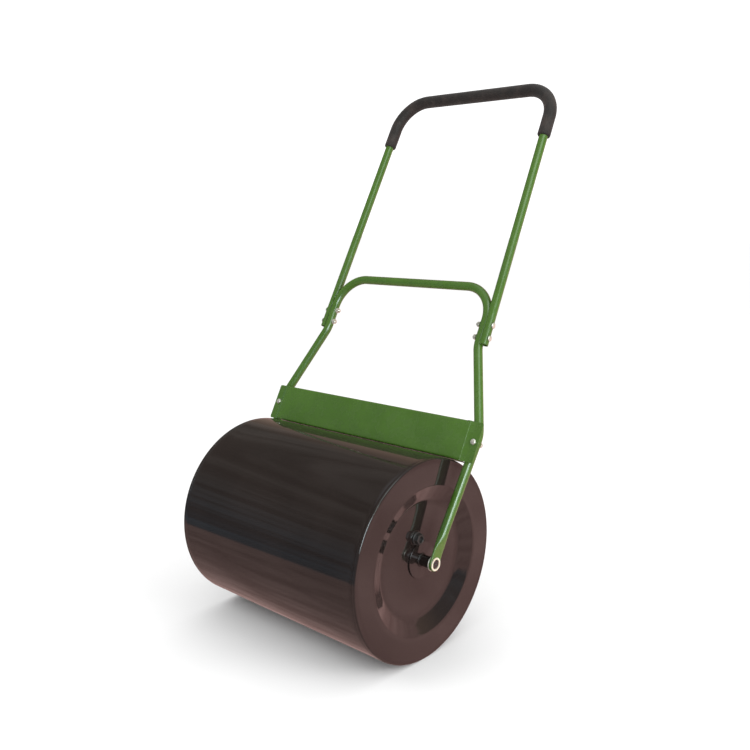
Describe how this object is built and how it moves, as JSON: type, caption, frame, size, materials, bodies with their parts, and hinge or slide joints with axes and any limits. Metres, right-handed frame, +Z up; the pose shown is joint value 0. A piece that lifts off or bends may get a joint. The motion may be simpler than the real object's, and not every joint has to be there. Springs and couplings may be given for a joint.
{
  "type": "lawn roller",
  "caption": "Walk-behind garden roller: a closed steel drum on an axle in a tubular frame, with a scraper panel above it and a bent push handle with a foam grip.",
  "frame": {"origin": "on the ground, under the middle of the axle", "axes": "+X along the axle towards the end with the filler plug, -Y towards the front, +Y towards the person pushing, +Z up"},
  "size_m": [0.592, 0.6957, 1.1492],
  "materials": {
    "drum_enamel": "gloss",
    "green_enamel": "gloss",
    "black_steel": "satin",
    "zinc_steel": "satin",
    "bush_plastic": "satin",
    "plug_plastic": "satin",
    "seal_rubber": "matte",
    "foam": "matte"
  },
  "bodies": {
    "frame": {"lower_frame": "green_enamel", "push_handle": "green_enamel", "foam_grip": "foam", "scraper_panel": "green_enamel", "axle_bush_right": "bush_plastic", "axle_bush_left": "bush_plastic", "thrust_washer_right": "zinc_steel", "thrust_washer_left": "zinc_steel", "panel_bolt_right": "zinc_steel", "panel_bolt_left": "zinc_steel", "panel_washer_right": "zinc_steel", "panel_washer_left": "zinc_steel", "panel_nut_right": "zinc_steel", "panel_nut_left": "zinc_steel", "handle_bolt_right_upper": "zinc_steel", "handle_bolt_right_lower": "zinc_steel", "handle_bolt_left_upper": "zinc_steel", "handle_bolt_left_lower": "zinc_steel", "handle_washer_right_upper": "zinc_steel", "handle_washer_right_lower": "zinc_steel", "handle_washer_left_upper": "zinc_steel", "handle_washer_left_lower": "zinc_steel", "handle_nut_right_upper": "zinc_steel", "handle_nut_right_lower": "zinc_steel", "handle_nut_left_upper": "zinc_steel", "handle_nut_left_lower": "zinc_steel"},
    "drum": {"drum_shell": "drum_enamel", "end_plate_right": "drum_enamel", "end_plate_left": "drum_enamel", "hub_boss_right": "drum_enamel", "hub_boss_left": "drum_enamel", "axle_rod": "black_steel", "filler_neck": "drum_enamel"},
    "plug": {"filler_plug": "plug_plastic", "filler_seal": "seal_rubber"}
  },
  "joints": [
    {"name": "drum_spin", "type": "hinge", "parent": "frame", "child": "drum", "pos_m": [0, 0, 0.202], "axis": [1, 0, 0], "continuous": true},
    {"name": "filler_plug_out", "type": "slide", "parent": "drum", "child": "plug", "axis": [1, 0, 0], "range_m": [0, 0.025]}
  ]
}
